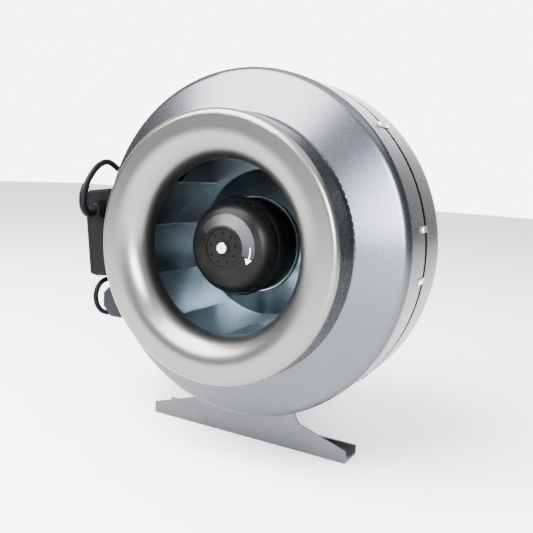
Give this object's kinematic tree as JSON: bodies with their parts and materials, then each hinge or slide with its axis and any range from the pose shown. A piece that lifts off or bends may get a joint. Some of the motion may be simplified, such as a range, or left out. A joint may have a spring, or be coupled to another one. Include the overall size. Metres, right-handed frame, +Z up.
{
  "type": "inline duct fan",
  "caption": "Inline duct fan: round steel casing on a foot, bell-mouth inlet, backward-curved impeller on an external-rotor motor, side junction box and a coiled mains lead.",
  "frame": {"origin": "on the foot's mounting face, under the middle of the casing", "axes": "+Y along the fan's axis, the way the air flows, from inlet to outlet; +Z up, away from the foot; +X away from the junction box"},
  "size_m": [0.3887, 0.3017, 0.3711],
  "materials": {
    "casing_steel": "satin",
    "nozzle_steel": "satin",
    "foot_steel": "satin",
    "support_steel": "satin",
    "impeller_steel": "satin",
    "clip_steel": "satin",
    "fastener_steel": "satin",
    "band_rubber": "matt",
    "rotor_black": "semi-gloss",
    "cover_plastic": "matt",
    "label_silver": "satin",
    "flange_aluminium": "as cast",
    "shaft_steel": "ground",
    "lamination_steel": "dull",
    "winding_copper": "varnished",
    "bearing_steel": "polished",
    "box_plastic": "fine grain",
    "gasket_rubber": "matt",
    "gland_plastic": "semi-gloss",
    "grommet_rubber": "matt",
    "terminal_plastic": "matt",
    "capacitor_plastic": "fine grain",
    "lead_rubber": "satin",
    "tie_plastic": "satin",
    "plug_plastic": "satin",
    "pin_brass": "nickelled"
  },
  "bodies": {
    "housing": {"arm_rivets": "fastener_steel", "bearing_front": "bearing_steel", "bearing_rear": "bearing_steel", "box_base": "box_plastic", "box_bracket": "support_steel", "box_bracket_rivets": "fastener_steel", "box_gasket": "gasket_rubber", "box_lid": "box_plastic", "box_lid_screws": "fastener_steel", "box_screws": "fastener_steel", "capacitor": "capacitor_plastic", "capacitor_cover": "capacitor_plastic", "capacitor_lead": "lead_rubber", "capacitor_rivets": "fastener_steel", "capacitor_strap": "support_steel", "casing_grommet": "grommet_rubber", "cord_tie": "tie_plastic", "foot_bracket": "foot_steel", "foot_rivets": "fastener_steel", "gland_locknuts": "gland_plastic", "inlet_casing": "casing_steel", "inlet_nozzle": "nozzle_steel", "lead_ties": "tie_plastic", "mains_coil": "lead_rubber", "mains_cord": "lead_rubber", "mains_gland": "gland_plastic", "mains_tail": "lead_rubber", "motor_flange": "flange_aluminium", "motor_gland": "gland_plastic", "motor_lead": "lead_rubber", "motor_lead_inner": "lead_rubber", "motor_screws": "fastener_steel", "motor_support": "support_steel", "outlet_casing": "casing_steel", "plug_body": "plug_plastic", "plug_pins": "pin_brass", "seam_band": "band_rubber", "seam_clips": "clip_steel", "seam_rivets": "fastener_steel", "stator_core": "lamination_steel", "stator_windings": "winding_copper", "terminal_block": "terminal_plastic"},
    "rotor": {"rotor_shaft": "shaft_steel", "shaft_clip": "shaft_steel", "rotor_can": "rotor_black", "rotor_cage": "flange_aluminium", "rotor_cover": "cover_plastic", "rotor_label": "label_silver", "impeller_backplate": "impeller_steel", "impeller_blades": "impeller_steel", "impeller_shroud": "impeller_steel", "balance_clips": "clip_steel"}
  },
  "joints": [
    {"name": "rotor_spin", "type": "hinge", "parent": "housing", "child": "rotor", "pos_m": [0, 0, 0.2012], "axis": [0, 1, 0], "continuous": true}
  ]
}
